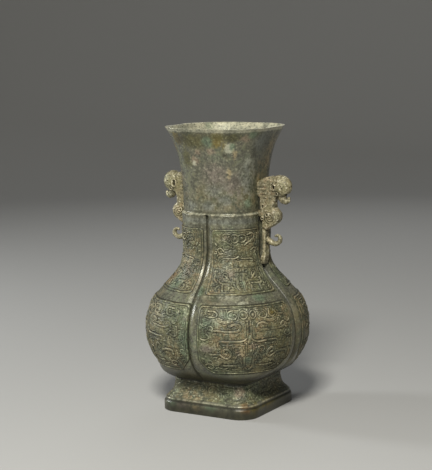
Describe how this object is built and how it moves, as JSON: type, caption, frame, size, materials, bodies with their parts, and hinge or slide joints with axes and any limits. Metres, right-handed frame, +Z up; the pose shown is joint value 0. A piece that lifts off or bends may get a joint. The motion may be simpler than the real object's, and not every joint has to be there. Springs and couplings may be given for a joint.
{
  "type": "hu vessel",
  "caption": "Tall hollow bronze vessel with a square foot, lobed belly with raised scroll panels, plain flaring neck and animal-head handles with hooked straps.",
  "frame": {"origin": "middle of the foot's underside, where the vessel stands on the table", "axes": "+Z up along the vessel's axis, +X towards the right handle, +Y to the back, each face of the square foot square to X or Y"},
  "size_m": [0.2394, 0.2394, 0.42],
  "materials": {
    "patinated_bronze": "aged bronze, matt grey-green and olive patina with ochre and pale green patches",
    "handle_bronze": "aged bronze, matt tan and grey patina, a little lighter than the body"
  },
  "bodies": {
    "root": {"vessel": "patinated_bronze", "left_handle": "handle_bronze", "right_handle": "handle_bronze"}
  },
  "joints": []
}
